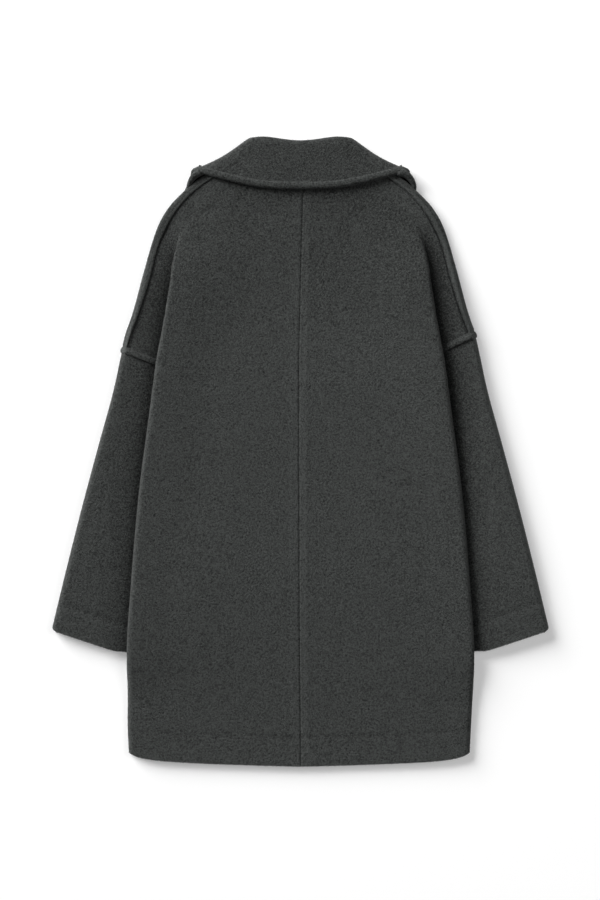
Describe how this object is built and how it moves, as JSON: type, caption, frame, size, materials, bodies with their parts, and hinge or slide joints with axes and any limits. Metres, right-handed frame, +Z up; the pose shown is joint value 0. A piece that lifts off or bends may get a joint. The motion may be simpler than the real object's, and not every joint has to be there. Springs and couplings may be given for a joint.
{
  "type": "wool coat",
  "caption": "Oversized boiled wool coat laid flat with its back up: dropped shoulders, seamed back, wide sleeves and a turned-down collar with a thick edge.",
  "frame": {"origin": "centre of the coat's box on the surface that it lies on", "axes": "+Y from the hem towards the collar, +X towards the wearer's right sleeve, +Z up from the surface, out of the coat's back"},
  "size_m": [0.7226, 0.9132, 0.0204],
  "materials": {
    "boiled_wool": "matt, brushed nap, dark charcoal green"
  },
  "bodies": {
    "root": {"back_left": "boiled_wool", "back_right": "boiled_wool", "front_left": "boiled_wool", "front_right": "boiled_wool", "sleeve_left": "boiled_wool", "sleeve_right": "boiled_wool", "collar": "boiled_wool", "collar_band": "boiled_wool", "shoulder_strip_left": "boiled_wool", "shoulder_strip_right": "boiled_wool", "armhole_band_left": "boiled_wool", "armhole_band_right": "boiled_wool"}
  },
  "joints": []
}
